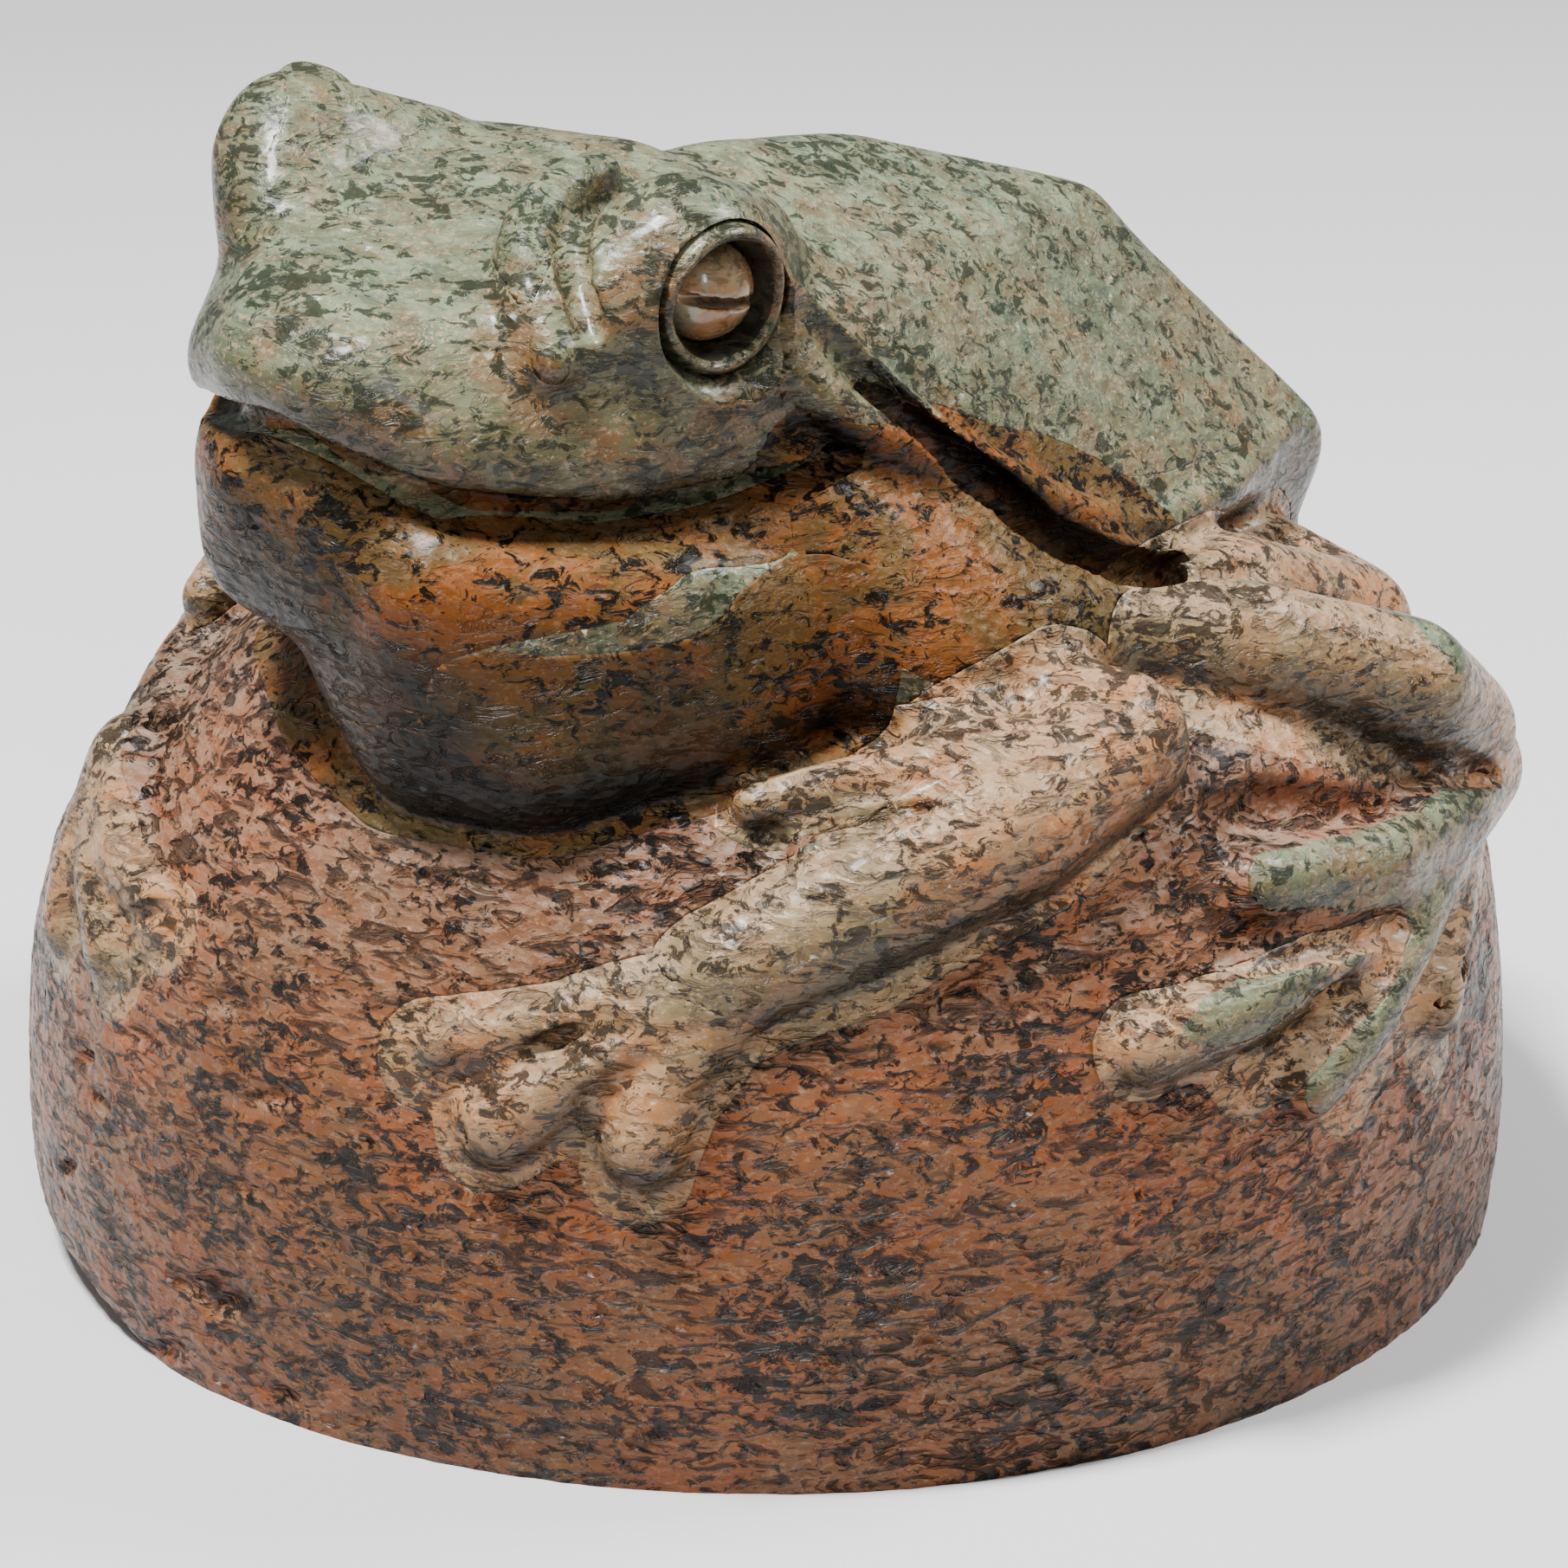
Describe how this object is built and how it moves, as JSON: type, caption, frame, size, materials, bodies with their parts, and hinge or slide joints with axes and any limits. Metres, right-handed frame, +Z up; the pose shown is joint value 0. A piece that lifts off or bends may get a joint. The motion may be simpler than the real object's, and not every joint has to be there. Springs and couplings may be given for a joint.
{
  "type": "carved stone frog",
  "caption": "Polished granite garden carving of a frog crouching on a rounded boulder, one block with a flat base.",
  "frame": {"origin": "centre of the flat base's bounding box, on the ground", "axes": "+Z up; the frog faces -Y and its left side is +X"},
  "size_m": [0.298, 0.2978, 0.2317],
  "materials": {
    "boulder_stone": "chiselled granite, lightly polished, orange-brown with black flecks",
    "back_stone": "polished granite, green-grey mottling",
    "jaw_stone": "polished granite, dark orange-brown",
    "limb_stone": "polished granite, pinkish tan",
    "eye_stone": "polished granite"
  },
  "bodies": {
    "root": {"boulder": "boulder_stone", "back": "back_stone", "rump": "back_stone", "left_fold": "back_stone", "right_fold": "back_stone", "left_shoulder": "jaw_stone", "right_shoulder": "jaw_stone", "upper_head": "back_stone", "lower_jaw": "jaw_stone", "mouth_floor": "jaw_stone", "throat": "jaw_stone", "left_eye_rim": "back_stone", "right_eye_rim": "back_stone", "left_eyeball": "eye_stone", "right_eyeball": "eye_stone", "left_forearm": "limb_stone", "left_hand": "limb_stone", "left_inner_finger": "limb_stone", "right_forearm": "limb_stone", "right_hand": "limb_stone", "right_inner_finger": "limb_stone", "left_thigh": "limb_stone", "left_shank": "limb_stone", "left_foot": "limb_stone", "right_thigh": "limb_stone", "right_shank": "limb_stone", "right_foot": "limb_stone"}
  },
  "joints": []
}
